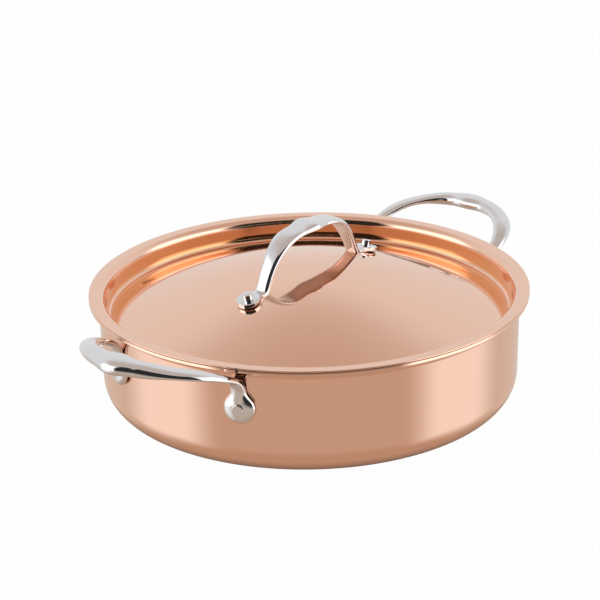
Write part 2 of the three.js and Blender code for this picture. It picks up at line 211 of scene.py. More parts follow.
# Floor
FLOOR_HALF_SIZE = 4000
FLOOR_DROP = 0.2
FLOOR_COLOUR = grey(0.9)
FLOOR_WHITE_SHARE = 0.98
SHADE_COLOUR = (0.16, 0.112, 0.09, 1)
SHADE_INNER = 124
SHADE_OUTER = 144
GLOW = 1.0

# Marks on the metals, and the soft edge of the painted reflection in the lid's groove
RING_DETAIL = 3.0
SMUDGE_DETAIL = 5.0
SMUDGE_DISTORTION = 0.6
SMUDGE_EDGE = (0.48, 0.72)
SCRATCH_DETAIL = 2.0
SCRATCH_EDGE = (0.6, 0.75)
# Turn about each axis and stretch of the two sets of scratches
SCRATCH_LAYS = ((0.35, (1, 0.03, 0.5)), (-0.6, (0.04, 1, 0.5)))
GROOVE_EDGE = 0.6

# Metals
COPPER = (0.955, 0.63, 0.49, 1)
COPPER_RINGED = (0.94, 0.605, 0.465, 1)
COPPER_WORN = (0.97, 0.68, 0.55, 1)
# Painted reflection: deeper, darker copper for the lid's trough wall, standing in for light bounced
# between copper walls
COPPER_GROOVE_REFLECTION = (0.83, 0.41, 0.2, 1)
COPPER_ROUGHNESS = 0.04
COPPER_RING_ROUGHNESS = 0.04
COPPER_SMUDGE_ROUGHNESS = 0.03
COPPER_BUMP_STRENGTH = 0.02
COPPER_BUMP_DEPTH = 0.00002
ALUMINIUM = (0.74, 0.75, 0.76, 1)
ALUMINIUM_GRAIN = (0.84, 0.85, 0.86, 1)
ALUMINIUM_ROUGHNESS = 0.35
ALUMINIUM_GRAIN_ROUGHNESS = 0.15
LINING = (0.58, 0.575, 0.57, 1)
LINING_RINGED = (0.7, 0.695, 0.69, 1)
LINING_ROUGHNESS = 0.2
LINING_RING_ROUGHNESS = 0.2
LINING_SMUDGE_ROUGHNESS = 0.06
LINING_BUMP_STRENGTH = 0.15
LINING_BUMP_DEPTH = 0.00003
STEEL = (0.8, 0.797, 0.815, 1)
STEEL_SMUDGED = (0.77, 0.765, 0.78, 1)
STEEL_WORN = (0.84, 0.837, 0.855, 1)
# Painted shade: a darker steel colour for faces that look down
STEEL_SHADED_UNDERSIDE = (0.52, 0.5, 0.49, 1)
STEEL_ROUGHNESS = 0.03
STEEL_SCRATCH_ROUGHNESS = 0.04
STEEL_SMUDGE_ROUGHNESS = 0.04
STEEL_SATIN_ROUGHNESS = 0.25
STEEL_BUMP_STRENGTH = 0.02
STEEL_BUMP_DEPTH = 0.00001

# Derived sizes
PAN_WALL = COPPER_PLY + BOND_GAP + CORE_PLY + BOND_GAP + LINING_PLY
LID_SHEET = LID_COPPER_PLY + BOND_GAP + LID_LINING_PLY
RIM_RADIUS = PAN_INSIDE_RADIUS + PAN_WALL + LIP_WIDTH
LID_TOP = PAN_HEIGHT + LID_SEAT_GAP + LID_SHEET
PAD_HEIGHT = PAN_HEIGHT - PAD_DROP
FLANGE_INNER = PAN_INSIDE_RADIUS - LID_WALL_CLEARANCE - LID_SHEET
DOME_RADIUS = FLANGE_INNER - LID_WALL_LEAN
DOME_FOOT = LID_TOP - LID_WALL_DEPTH
LOOP_END = RIM_RADIUS + GRIP_REACH
LOOP_START = LOOP_END - LOOP_DEPTH
ARCH_SPAN = FOOT_REACH - FOOT_LENGTH
FOOT_END = LID_RIVET_RADIUS + RIVET_HOLE_GAP

scene = bpy.context.scene


# Shader nodes

def give(tree, socket, feed):
    """Feeds a socket from another one, or sets it to a value."""
    if isinstance(feed, bpy.types.NodeSocket):
        tree.links.new(feed, socket)
    else:
        socket.default_value = feed


def make(tree, kind, *feeds, **settings):
    """A shader node with its first sockets fed by other sockets or set to values."""
    made = tree.nodes.new("ShaderNode" + kind)
    for name, value in settings.items():
        setattr(made, name, value)
    for socket, feed in zip(made.inputs, feeds):
        give(tree, socket, feed)
    return made


def math_node(tree, operation, *feeds):
    return make(tree, "Math", *feeds, operation=operation).outputs[0]


def rising(tree, value, start, end):
    """A smooth share that goes from 0 to 1 while the value goes, up or down, from start to end."""
    shares = (0.0, 1.0) if start < end else (1.0, 0.0)
    limits = (min(start, end), max(start, end))
    made = make(tree, "MapRange", value, *limits, *shares, interpolation_type="SMOOTHSTEP")
    return made.outputs[0]


def blended(tree, share, first, second):
    """One colour going over into another as the share goes from 0 to 1."""
    made = make(tree, "Mix", data_type="RGBA")
    share_socket, first_socket, second_socket = made.inputs[0], made.inputs[6], made.inputs[7]
    give(tree, share_socket, share)
    give(tree, first_socket, first)
    give(tree, second_socket, second)
    return made.outputs[2]


def noise(tree, dimensions, **feeds):
    """The value of a noise with its sockets fed by name."""
    made = make(tree, "TexNoise", noise_dimensions=dimensions)
    for name, feed in feeds.items():
        give(tree, made.inputs[name], feed)
    return made.outputs["Fac"]


def place_on_object(tree):
    return make(tree, "TexCoord").outputs["Object"]


def level_part(tree, vector):
    return make(tree, "VectorMath", vector, (1, 1, 0), operation="MULTIPLY").outputs[0]


def upright_part(tree, vector):
    return make(tree, "SeparateXYZ", vector).outputs["Z"]


def length(tree, vector):
    return make(tree, "VectorMath", vector, operation="LENGTH").outputs["Value"]


def direction_of(tree, vector):
    return make(tree, "VectorMath", vector, operation="NORMALIZE").outputs[0]


def camera_ray(tree):
    return make(tree, "LightPath").outputs["Is Camera Ray"]


# Camera and stage

def place_camera():
    data = bpy.data.cameras.new("camera")
    data.lens = CAMERA_LENS
    camera = bpy.data.objects.new("camera", data)
    scene.collection.objects.link(camera)
    turn = Matrix.Rotation(CAMERA_TURN, 4, "Z")
    tilt = Matrix.Rotation(math.pi / 2 - CAMERA_ELEVATION, 4, "X")
    roll = Matrix.Rotation(CAMERA_ROLL, 4, "Z")
    rim = Matrix.Translation((0, 0, LID_TOP * MM))
    camera.matrix_world = rim @ turn @ tilt @ roll @ Matrix.Translation(-RIM_IN_VIEW * MM)
    scene.camera = camera
    scene.view_settings.view_transform = "Standard"


def light_studio():
    """White for the camera, and a room of soft cards and dark gaps for everything else."""
    world = bpy.data.worlds.new("studio")
    scene.world = world
    world.use_nodes = True
    tree = world.node_tree
    tree.nodes.clear()
    direction = make(tree, "TexCoord").outputs["Generated"]
    level = direction_of(tree, level_part(tree, direction))
    camera_way = Matrix.Rotation(CAMERA_TURN, 3, "Z") @ -ACROSS
    towards = make(tree, "VectorMath", level, camera_way, operation="DOT_PRODUCT").outputs["Value"]
    height = upright_part(tree, direction)

    def beyond(edge):
        """Share that rises from the first angle round from the camera to the second."""
        return rising(tree, towards, *(math.cos(math.radians(angle)) for angle in edge))

    def above(edge):
        """Share that rises from the first angle up from the horizon to the second."""
        return rising(tree, height, *(math.sin(math.radians(angle)) for angle in edge))

    low = blended(tree, beyond(CARD_LOW_EDGE), SIDE_CARD_LOW, CAMERA_SIDE_LOW)
    low = blended(tree, beyond(CARD_LOW_BACK_EDGE), low, BACK_WALL_LOW)
    low = blended(tree, above(UNDERNEATH_EDGE), low, UNDERNEATH)
    high = blended(tree, beyond(CARD_BACK_EDGE), SIDE_CARD, BACK_WALL)
    high = blended(tree, above(CARD_TOP), high, BACK_WALL)
    high = blended(tree, above(CEILING_EDGE), high, CEILING)
    room = blended(tree, above(HORIZON_EDGE), low, high)
    front = blended(tree, above(CAMERA_SIDE_FOOT), low, CAMERA_SIDE)
    in_front = math_node(tree, "MULTIPLY", beyond(CARD_EDGE), above(CAMERA_SIDE_TOP))
    room = blended(tree, in_front, room, front)
    shown = blended(tree, camera_ray(tree), room, WHITE)
    background = make(tree, "Background", shown)
    make(tree, "OutputWorld", background.outputs[0])


def bare_material(name):
    """A material with no nodes yet, and its tree."""
    material = bpy.data.materials.new(name)
    material.use_nodes = True
    material.node_tree.nodes.clear()
    return material, material.node_tree


def lay_floor():
    """A floor that the camera sees as nearly white. Metal reflects the studio in its place."""
    bm = bmesh.new()
    bmesh.ops.create_grid(bm, x_segments=1, y_segments=1, size=FLOOR_HALF_SIZE)
    bmesh.ops.translate(bm, vec=(0, 0, -FLOOR_DROP), verts=bm.verts)
    floor = new_object("floor", bm)
    material, tree = bare_material("pale_floor")
    matt = make(tree, "BsdfDiffuse", FLOOR_COLOUR)
    white = make(tree, "Emission", WHITE, GLOW)
    share = math_node(tree, "MULTIPLY", camera_ray(tree), FLOOR_WHITE_SHARE)
    mixed = make(tree, "MixShader", share, matt.outputs[0], white.outputs[0])
    make(tree, "OutputMaterial", mixed.outputs[0])
    floor.data.materials.append(material)
    floor.visible_glossy = False


def shade_floor():
    """The floor in the shadow of the pan, for reflections only, as they don't show the floor."""
    bm = bmesh.new()
    bmesh.ops.create_circle(bm, cap_ends=True, segments=ROUND_STEPS, radius=SHADE_OUTER)
    bmesh.ops.translate(bm, vec=(0, 0, -FLOOR_DROP / 2), verts=bm.verts)
    shade = new_object("floor_shade", bm)
    material, tree = bare_material("shaded_floor")
    radius = length(tree, place_on_object(tree))
    outwards = rising(tree, radius, SHADE_INNER * MM, SHADE_OUTER * MM)
    glow = make(tree, "Emission", blended(tree, outwards, SHADE_COLOUR, UNDERNEATH), GLOW)
    make(tree, "OutputMaterial", glow.outputs[0])
    shade.data.materials.append(material)
    shade.visible_camera = False
    shade.visible_diffuse = False
    shade.visible_shadow = False


# Meshes

def new_object(name, bm):
    """A smooth-shaded object from a bmesh in millimetres."""
    bmesh.ops.scale(bm, vec=(MM, MM, MM), verts=bm.verts)
    mesh = bpy.data.meshes.new(name)
    bm.to_mesh(mesh)
    bm.free()
    mesh.shade_smooth()
    made = bpy.data.objects.new(name, mesh)
    scene.collection.objects.link(made)
    return made


def add_piece(name, bm, body, node, material):
    piece = new_object(name, bm)
    piece.data.materials.append(material)
    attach(piece, body)
    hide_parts(node)
    return piece


def add_sheet(*description):
    """A piece whose shading keeps to the large faces, so a flat stays flat beside a fillet."""
    shading = add_piece(*description).modifiers.new("even_shading", "WEIGHTED_NORMAL")
    shading.mode = "FACE_AREA"
    shading.weight = SHADING_WEIGHT


def add_casting(*description):
    """A piece with a smooth skin drawn over its mesh."""
    rounding = add_piece(*description).modifiers.new("rounding", "SUBSURF")
    rounding.levels = SMOOTH_LEVELS
    rounding.render_levels = SMOOTH_LEVELS


def placed(bm, matrix):
    bmesh.ops.transform(bm, matrix=matrix, verts=bm.verts)
    return bm


def turn_to(out):
    """The turn from the right side of the object to the side on which X has this sign."""
    return Matrix.Rotation(0 if out > 0 else math.pi, 4, "Z")


def spun(corners, steps):
    """A closed outline from axis to axis through (radius, height, fillet) corners, spun about Z."""
    bm = bmesh.new()
    points = [bm.verts.new((radius, 0, height)) for radius, height, _ in corners]
    for start, end in zip(points, points[1:]):
        bm.edges.new((start, end))
    for (_, _, fillet), point in zip(corners, points):
        if fillet:
            arms = [edge.other_vert(point).co - point.co for edge in point.link_edges]
            reach = fillet / math.tan(arms[0].angle(arms[1]) / 2)
            bmesh.ops.bevel(
                bm, geom=[point], offset=reach, offset_type="OFFSET", affect="VERTICES",
                segments=FILLET_STEPS if fillet > LARGEST_EDGE_ROUNDING else EDGE_STEPS,
                profile=ROUND_PROFILE, clamp_overlap=False, material=-1,
            )
    bmesh.ops.spin(
        bm, geom=bm.verts[:] + bm.edges[:], cent=(0, 0, 0), axis=UP, angle=2 * math.pi,
        steps=steps, use_merge=True,
    )
    bmesh.ops.remove_doubles(bm, verts=bm.verts, dist=MERGE_DISTANCE)
    bmesh.ops.recalc_face_normals(bm, faces=bm.faces)
    return bm


def moved_left(corners, distance):
    """A line of corners moved to its left, with its fillets kept concentric."""
    spots = [Vector((radius, height)) for radius, height, _ in corners]
    runs = [(end - start).normalized() for start, end in zip(spots, spots[1:])]
    moved = []
    for i, (radius, _, fillet) in enumerate(corners):
        before, after = runs[max(i - 1, 0)], runs[min(i, len(runs) - 1)]
        side = (before + after).normalized().orthogonal()
        on_axis = Vector((0, distance))
        step = side * (distance / side.dot(before.orthogonal())) if radius else on_axis
        spot = spots[i] + step
        turn = before.cross(after)
        growth = math.copysign(distance, turn * distance)
        moved.append((spot.x, spot.y, fillet and fillet - growth))
    return moved


def trimmed(line, end):
    """The same line, ending at a radius on the lip or flange."""
    return line[:-1] + [(end, line[-1][1], 0)]


def inner_ply(face, near, far):
    """The layer of a sheet between two depths from its face. It ends behind the hem."""
    end = RIM_RADIUS - HEM_WIDTH - BOND_GAP
    first, second = (trimmed(moved_left(face, depth), end) for depth in (near, far))
    return spun(first + second[::-1], ROUND_STEPS)


def hemmed_ply(face, depth, sheet, rounding, lean):
    """The face layer of a sheet down to a depth, with a hem that leans in over the whole edge."""
    end = RIM_RADIUS - HEM_WIDTH
    start = face[-1][1]
    edge = start + sheet
    hem = [(RIM_RADIUS, start, rounding), (RIM_RADIUS - lean, edge, rounding), (end, edge, 0)]
    back = trimmed(moved_left(face, depth), end)
    return spun(face[:-1] + hem + back[::-1], ROUND_STEPS)


def rivet(shank, seat, tail):
    """A rivet along Z: a low round head under height seat, and a shank up to height tail."""
    return spun(
        (
            (0, seat - RIVET_HEAD_HEIGHT, 0),
            (RIVET_HEAD_FLAT, seat - RIVET_HEAD_HEIGHT, RIVET_HEAD_HEIGHT),
            (RIVET_HEAD_RADIUS, seat - RIVET_EDGE, 0),
            (RIVET_HEAD_RADIUS, seat, 0),
            (shank, seat, 0),
            (shank, tail, TAIL_EDGE),
            (0, tail, 0),
        ),
        RIVET_STEPS,
    )


def lerp(low, high, share):
    return low + (high - low) * share


def smoothstep(value, start, end):
    share = min(max((value - start) / (end - start), 0), 1)
    return share * share * (3 - 2 * share)


def swell(value, squareness):
    """A coordinate on a circle, carried over to a squarer oval."""
    return math.copysign(abs(value) ** (2 / squareness), value)


def rounder_of(first, second, reach):
    """The greater of two widths, with a soft change from one to the other."""
    share = min(max(0.5 + 0.5 * (first - second) / reach, 0), 1)
    return lerp(second, first, share) + reach * share * (1 - share) / 2


def half_chord(radius, distance):
    """Half the width of a disc at a distance from its middle, or nothing beyond its edge."""
    return math.sqrt(max(radius**2 - distance**2, 0))


def edge_curve(share):
    """Height of a quarter circle at a share of its width, from its foot."""
    return math.sqrt(1 - (1 - share) ** 2)


def section_at(sections, place):
    """The sizes of a row of sections at a place between two of them, with level runs at each."""
    after = max(next(i for i, section in enumerate(sections) if section[0] <= place), 1)
    far, near = sections[after - 1], sections[after]
    share = smoothstep(place, near[0], far[0])
    return [lerp(a, b, share) for a, b in zip(near[1:], far[1:])]


@dataclass
class Section:
    """A section of a cast bar. Its over side is along x across, and the slant widens that side.

    The share that is round takes the squareness and the slant off the half against across.
    """

    at: Vector
    along: Vector
    across: Vector
    half_width: float
    under: float
    over: float
    under_squareness: float
    over_squareness: float
    slant: float = 0
    round_share: float = 0

    def point(self, on_circle):
        thickness, squareness = self.under, self.under_squareness
        if on_circle.y > 0:
            thickness, squareness = self.over, self.over_squareness
        slant = self.slant
        if on_circle.x < 0:
            squareness = lerp(squareness, ROUND_SQUARENESS, self.round_share)
            slant *= 1 - self.round_share
        rise = swell(on_circle.y, squareness)
        wide = (self.half_width + slant * rise) * swell(on_circle.x, squareness)
        upwards = self.along.cross(self.across).normalized()
        return self.at + self.across.normalized() * wide + upwards * (thickness * rise)

    def mirrored(self, axis):
        """The same section on the other side of the plane across an axis."""
        flip = Matrix.Scale(-1, 3, axis)
        return replace(
            self, at=flip @ self.at, along=-(flip @ self.along), across=flip @ self.across,
        )


def lofted(half, axis):
    """A closed bar drawn ring by ring through half its sections and then their mirror images."""
    bm = bmesh.new()
    ring = bmesh.ops.create_circle(bm, segments=RING_STEPS, radius=1)["verts"]
    half_step = Matrix.Rotation(math.pi / RING_STEPS, 3, "Z")
    on_circle = [half_step @ point.co for point in ring]
    ends = []
    for section in half + [section.mirrored(axis) for section in reversed(half[:-1])]:
        if ends:
            grown = bmesh.ops.extrude_edge_only(bm, edges=ends[-1])["geom"]
            fresh = {part for part in grown if isinstance(part, bmesh.types.BMVert)}
            reached = [[edge.other_vert(point) for edge in point.link_edges] for point in ring]
            ring = [next(vert for vert in verts if vert in fresh) for verts in reached]
        for point, spot in zip(ring, on_circle):
            point.co = section.point(spot)
        ends.append([bm.edges.get(pair) for pair in zip(ring, ring[1:] + ring[:1])])
    for edges in (ends[0], ends[-1]):
        bmesh.ops.edgeloop_fill(bm, edges=edges)
    bmesh.ops.recalc_face_normals(bm, faces=bm.faces)
    return bm


# Pan

def pan_outside(z):
    return PAN_INSIDE_RADIUS + PAN_WALL - (PAN_HEIGHT - z) * math.tan(PAN_DRAFT)


WALL_AT_PAD = pan_outside(PAD_HEIGHT)
PAD_OUT = math.sqrt(WALL_AT_PAD**2 - PAD_SPREAD**2)
PAD_TURN = math.atan2(PAD_SPREAD, PAD_OUT)
PAD_OUTWARD = Vector((PAD_OUT, PAD_SPREAD, 0)).normalized()
PAD_ON_WALL = PAD_OUTWARD * (WALL_AT_PAD + SEAT_GAP) + UP * PAD_HEIGHT


def pan_face():
    """Outside of the pan, from the middle of the base to the edge of the lip."""
    lip = PAN_HEIGHT - PAN_WALL
    return [
        (0, 0, 0),
        (pan_outside(0), 0, PAN_CORNER),
        (pan_outside(lip), lip, LIP_FLARE),
        (RIM_RADIUS, lip, 0),
    ]


def pad_thickness(up):
    """Thickness of a pad along its upright middle line, round at its foot."""
    from_edge = min((up + PAD_RADIUS) / PAD_ROUNDING, 1)
    return (PAD_THICKNESS - PAD_CROWN * (up / PAD_RADIUS) ** 2) * edge_curve(from_edge)


def loop_height(reach):
    inwards = LOOP_END - reach
    return PAN_HEIGHT + GRIP_RISE - LOOP_SLOPE * inwards - LOOP_SWEEP * inwards**2


def loop_slope(reach):
    return LOOP_SLOPE + 2 * LOOP_SWEEP * (LOOP_END - reach)


def pad_sections():
    """A round pad on the wall, from its foot up to the neck."""
    sections = []
    neck_angle = math.acos(-NECK_START / PAD_RADIUS)
    for k in range(PAD_STEPS):
        angle = lerp(PAD_TIP, neck_angle, k / PAD_STEPS)
        up = -PAD_RADIUS * math.cos(angle)
        disc = PAD_RADIUS * math.sin(angle)
        width = rounder_of(disc, NECK_HALF_WIDTH, NECK_BLEND) if up > 0 else disc
        back = min(PAD_BACK, pad_thickness(up) / 2)
        sections.append(Section(
            PAD_ON_WALL + PAD_OUTWARD * back + UP * up, UP, UP.cross(PAD_OUTWARD), width,
            pad_thickness(up) - back, back, PAD_SQUARENESS, BACK_SQUARENESS,
        ))
    return sections


def neck_sections():
    """A neck that rises from a pad and turns outwards into the loop."""
    sections = []
    foot_front = pad_thickness(NECK_START) - PAD_BACK
    foot = PAD_ON_WALL + PAD_OUTWARD * PAD_BACK + UP * NECK_START
    top = Vector((LOOP_START, PAD_SPREAD, loop_height(LOOP_START)))
    lean = Vector((1, 0, loop_slope(LOOP_START))).normalized()
    line = interpolate_bezier(
        foot, foot + UP * NECK_UPRIGHT, top - lean * NECK_TURN, top, NECK_STEPS + 1,
    )
    _, top_width, top_thickness, _ = LOOP_SECTIONS[0]
    gone = NECK_START
    for k, (at, ahead) in enumerate(zip(line, line[1:])):
        share = k / NECK_STEPS
        eased = smoothstep(share, 0, 1)
        behind = line[k - 1] if k else at - UP
        gone += (at - behind).length if k else 0
        disc = half_chord(PAD_RADIUS, gone)
        width = rounder_of(disc, lerp(NECK_HALF_WIDTH, top_width, share), NECK_BLEND)
        turn = Matrix.Rotation(PAD_TURN * (1 - eased), 3, "Z")
        sections.append(Section(
            at, ahead - behind, turn @ ACROSS, width,
            lerp(foot_front, top_thickness, eased), lerp(PAD_BACK, top_thickness, eased),
            lerp(PAD_SQUARENESS, LOOP_SQUARENESS, eased),
            lerp(BACK_SQUARENESS, LOOP_TOP_SQUARENESS, eased),
            LOOP_SLANT * eased, LOOP_INNER_ROUND * eased,
        ))
    return sections


def loop_sections():
    """Half of the rising loop, from a neck to the middle of the knuckle."""
    sections = []
    first_place = LOOP_SECTIONS[0][0]
    for k in range(LOOP_STEPS, -1, -1):
        place = first_place * (k / LOOP_STEPS) ** LOOP_CROWDING
        angle = math.radians(place)
        width, thickness, roll = section_at(LOOP_SECTIONS, place)
        reach = LOOP_START + LOOP_DEPTH * math.cos(angle)
        heading = Vector((LOOP_DEPTH * math.sin(angle), -PAD_SPREAD * math.cos(angle), 0))
        along = Vector((heading.x, heading.y, loop_slope(reach) * heading.x)).normalized()
        level = Vector((-heading.y, heading.x, 0)).normalized()
        across = Matrix.Rotation(math.radians(roll), 3, along) @ level
        at = Vector((reach, PAD_SPREAD * math.sin(angle), loop_height(reach)))
        sections.append(Section(
            at, along, across, width, thickness, thickness, LOOP_SQUARENESS,
            LOOP_TOP_SQUARENESS, LOOP_SLANT, LOOP_INNER_ROUND,
        ))
    return sections


def make_pan(copper, aluminium, lining, steel):
    core_start = COPPER_PLY + BOND_GAP
    core_end = core_start + CORE_PLY
    face = pan_face()
    shell = hemmed_ply(face, COPPER_PLY, PAN_WALL, LIP_ROUNDING, LIP_LEAN)
    core = inner_ply(face, core_start, core_end)
    inside = inner_ply(face, core_end + BOND_GAP, PAN_WALL)
    add_sheet("copper_pan_body", shell, "pan", "pan_copper_shell", copper)
    add_sheet("aluminium_core_sheet", core, "pan", "pan_aluminium_core", aluminium)
    add_sheet("steel_pan_lining", inside, "pan", "pan_steel_lining", lining)
    half = pad_sections() + neck_sections() + loop_sections()
    lining_at_pad = WALL_AT_PAD - PAN_WALL
    head_seat = lining_at_pad - RIVET_HEAD_RADIUS**2 / (2 * lining_at_pad) - SEAT_GAP
    tail = WALL_AT_PAD + SEAT_GAP + PAD_THICKNESS + RIVET_TAIL_PROUD
    for side, out in SIDES:
        handle = placed(lofted(half, ACROSS), turn_to(out))
        add_casting(f"{side}_loop_handle", handle, "pan", f"handle_{side}", steel)
        for end, over in ENDS:
            turn = Matrix.Rotation(math.atan2(over * PAD_SPREAD, out * PAD_OUT), 4, "Z")
            lift = Matrix.Translation((0, 0, PAD_HEIGHT))
            stand = turn @ lift @ Matrix.Rotation(math.pi / 2, 4, "Y")
            fixed = placed(rivet(PAN_RIVET_RADIUS, head_seat, tail), stand)
            add_sheet(f"{side}_{end}_pan_rivet", fixed, "pan", f"pan_rivet_{side}_{end}", steel)


# Lid

def dome_fall(radius):
    return math.hypot(DOME_NOSE, DOME_PITCH * radius) - DOME_NOSE


def dome_height(radius):
    return DOME_FOOT + dome_fall(DOME_RADIUS) - dome_fall(radius)


def dome_slope(radius):
    return -DOME_PITCH**2 * radius / math.hypot(DOME_NOSE, DOME_PITCH * radius)


FOOT_SLOPE = dome_slope(FOOT_REACH)
FOOT_SPOT = Vector((FOOT_REACH, 0, dome_height(FOOT_REACH)))
FOOT_INWARDS = Vector((-1, 0, -FOOT_SLOPE)).normalized()
FOOT_UPWARDS = Vector((-FOOT_SLOPE, 0, 1)).normalized()
FOOT_ON_DOME = FOOT_SPOT + FOOT_UPWARDS * SEAT_GAP
ARCH_FOOT = dome_height(ARCH_SPAN) + LEG_HEIGHT


def lid_face():
    """Top of the lid, from the middle of the dome to the edge of the flange."""
    dome = [DOME_RADIUS * k / DOME_STEPS for k in range(DOME_STEPS)]
    return [(radius, dome_height(radius), 0) for radius in dome] + [
        (DOME_RADIUS, DOME_FOOT, LID_TROUGH_FILLET),
        (FLANGE_INNER, LID_TOP, LID_FLANGE_FILLET),
        (RIM_RADIUS, LID_TOP, 0),
    ]


def arch_at(x):
    return Vector((x, 0, ARCH_FOOT + ARCH_RISE * (1 - (x / ARCH_SPAN) ** ARCH_POWER)))


def arch_along(x):
    fall = ARCH_POWER * ARCH_RISE * (x / ARCH_SPAN) ** (ARCH_POWER - 1) / ARCH_SPAN
    return Vector((-1, 0, fall)).normalized()


def foot_sections():
    """A riveted foot on the dome, from its tip to the far side of the rivet."""
    sections = []
    half_foot = FOOT_THICKNESS / 2
    end_angle = math.acos(-FOOT_END / FOOT_RADIUS)
    for k in range(PAD_STEPS):
        angle = lerp(FOOT_TIP, end_angle, k / PAD_STEPS)
        gone = -FOOT_RADIUS * math.cos(angle)
        disc = FOOT_RADIUS * math.sin(angle)
        from_edge = min((gone + FOOT_RADIUS) / FOOT_ROUNDING, 1)
        thin = half_foot - FOOT_ROUNDING / 2 * (1 - edge_curve(from_edge))
        width = rounder_of(disc, LEG_HALF_WIDTH, LEG_BLEND) if gone > 0 else disc
        sections.append(Section(
            FOOT_ON_DOME + FOOT_INWARDS * gone + FOOT_UPWARDS * thin, FOOT_INWARDS, ACROSS, width,
            thin, thin, FOOT_SQUARENESS, FOOT_TOP_SQUARENESS, FOOT_SLANT * disc / FOOT_RADIUS,
        ))
    return sections


def leg_sections():
    """A leg that turns up from a foot into the arch."""
    sections = []
    half_foot = FOOT_THICKNESS / 2
    start = FOOT_ON_DOME + FOOT_INWARDS * FOOT_END + FOOT_UPWARDS * half_foot
    leg_foot = arch_at(ARCH_SPAN)
    line = interpolate_bezier(
        start, start + FOOT_INWARDS * FOOT_TURN,
        leg_foot - arch_along(ARCH_SPAN) * FOOT_TURN, leg_foot, FOOT_STEPS + 1,
    )
    gone = FOOT_END
    for k, (at, ahead) in enumerate(zip(line, line[1:])):
        share = k / FOOT_STEPS
        behind = line[k - 1] if k else at - FOOT_INWARDS
        gone += (at - behind).length if k else 0
        width = rounder_of(half_chord(FOOT_RADIUS, gone), LEG_HALF_WIDTH, LEG_BLEND)
        thin = lerp(half_foot, STRAP_HALF_THICKNESS, share)
        sections.append(Section(
            at, ahead - behind, ACROSS, width, thin, thin,
            lerp(FOOT_SQUARENESS, STRAP_SQUARENESS, share),
            lerp(FOOT_TOP_SQUARENESS, STRAP_SQUARENESS, share),
            lerp(FOOT_SLANT, STRAP_SLANT, share),
        ))
    return sections


def arch_sections():
    """Half of the arch, from a leg to the middle of the raised knuckle."""
    sections = []
    sizes = (
        (ARCH_SPAN, LEG_HALF_WIDTH, STRAP_HALF_THICKNESS),
        (SHOULDER_PLACE, SHOULDER_HALF_WIDTH, STRAP_HALF_THICKNESS),
        (KNUCKLE_HALF_LENGTH, SHOULDER_HALF_WIDTH, STRAP_HALF_THICKNESS),
        (0, KNUCKLE_HALF_WIDTH, KNUCKLE_HALF_THICKNESS),
    )
    for k in range(ARCH_STEPS, -1, -1):
        x = ARCH_SPAN * k / ARCH_STEPS
        width, thickness = section_at(sizes, x)
        at = arch_at(x) + UP * (thickness - STRAP_HALF_THICKNESS)
        sections.append(Section(
            at, arch_along(x), ACROSS, width, thickness, thickness, STRAP_SQUARENESS,
            STRAP_SQUARENESS, STRAP_SLANT,
        ))
    return sections


def make_lid(copper, lining, steel):
    face = lid_face()
    cover = hemmed_ply(face, -LID_COPPER_PLY, -LID_SHEET, LID_ROUNDING, LID_LEAN)
    inside = inner_ply(face, -LID_COPPER_PLY - BOND_GAP, -LID_SHEET)
    strap = lofted(foot_sections() + leg_sections() + arch_sections(), OUT)
    add_sheet("copper_lid_cover", cover, "lid", "lid_copper_shell", copper)
    add_sheet("steel_lid_lining", inside, "lid", "lid_steel_lining", lining)
    add_casting("lid_strap", strap, "lid", "lid_handle", steel)
    tilt = Matrix.Rotation(-math.atan(FOOT_SLOPE), 4, "Y")
    post_top = SEAT_GAP + FOOT_THICKNESS + RIVET_POST_HEIGHT
    for side, out in SIDES:
        stand = turn_to(out) @ Matrix.Translation(FOOT_SPOT) @ tilt
        fixed = placed(rivet(LID_RIVET_RADIUS, -LID_SHEET - SEAT_GAP, post_top), stand)
        add_sheet(f"{side}_strap_rivet", fixed, "lid", f"lid_rivet_{side}", steel)


# Marks on the metals, and masks of painted shade and painted reflection, as node groups

def new_group(name, inputs, output):
    """An empty node group, its input node and the socket of its output."""
    tree = bpy.data.node_groups.new(name, "ShaderNodeTree")
    for title, value in inputs.items():
        socket = tree.interface.new_socket(title, in_out="INPUT", socket_type="NodeSocketFloat")
        socket.default_value = value
    tree.interface.new_socket(output, in_out="OUTPUT", socket_type="NodeSocketFloat")
    given = tree.nodes.new("NodeGroupInput")
    return tree, given, tree.nodes.new("NodeGroupOutput").inputs[output]


def given_step(tree, given, value):
    """A smooth share of a value between the group's own Start and End."""
    limits = (given.outputs["Start"], given.outputs["End"])
    return make(tree, "MapRange", value, *limits, interpolation_type="SMOOTHSTEP").outputs[0]


def polish_rings():
    """Fine rings left by polishing or brushing a piece as it turns about Z."""
    tree, given, result = new_group("polish_rings", {"Density": 900.0, "Along": 6.0}, "Rings")
    place = place_on_object(tree)
    level = level_part(tree, place)
    around = make(tree, "VectorMath", direction_of(tree, level), operation="SCALE")
    tree.links.new(given.outputs["Along"], around.inputs["Scale"])
    along = make(tree, "SeparateXYZ", around.outputs[0]).outputs
    across = math_node(tree, "MULTIPLY", length(tree, level), given.outputs["Density"])
    spot = make(tree, "CombineXYZ", along["X"], along["Y"], across).outputs[0]
    step = math_node(tree, "MULTIPLY", upright_part(tree, place), given.outputs["Density"])
    rings = noise(tree, "4D", Vector=spot, W=step, Scale=1.0, Detail=RING_DETAIL)
    tree.links.new(rings, result)
    return tree


def hand_smudges():
    """Soft patches where a cloth or a hand has dulled the polish."""
    tree, given, result = new_group("hand_smudges", {"Scale": 30.0}, "Smudge")
    patches = noise(
        tree, "3D", Vector=place_on_object(tree), Scale=given.outputs["Scale"],
        Detail=SMUDGE_DETAIL, Distortion=SMUDGE_DISTORTION,
    )
    tree.links.new(rising(tree, patches, *SMUDGE_EDGE), result)
    return tree


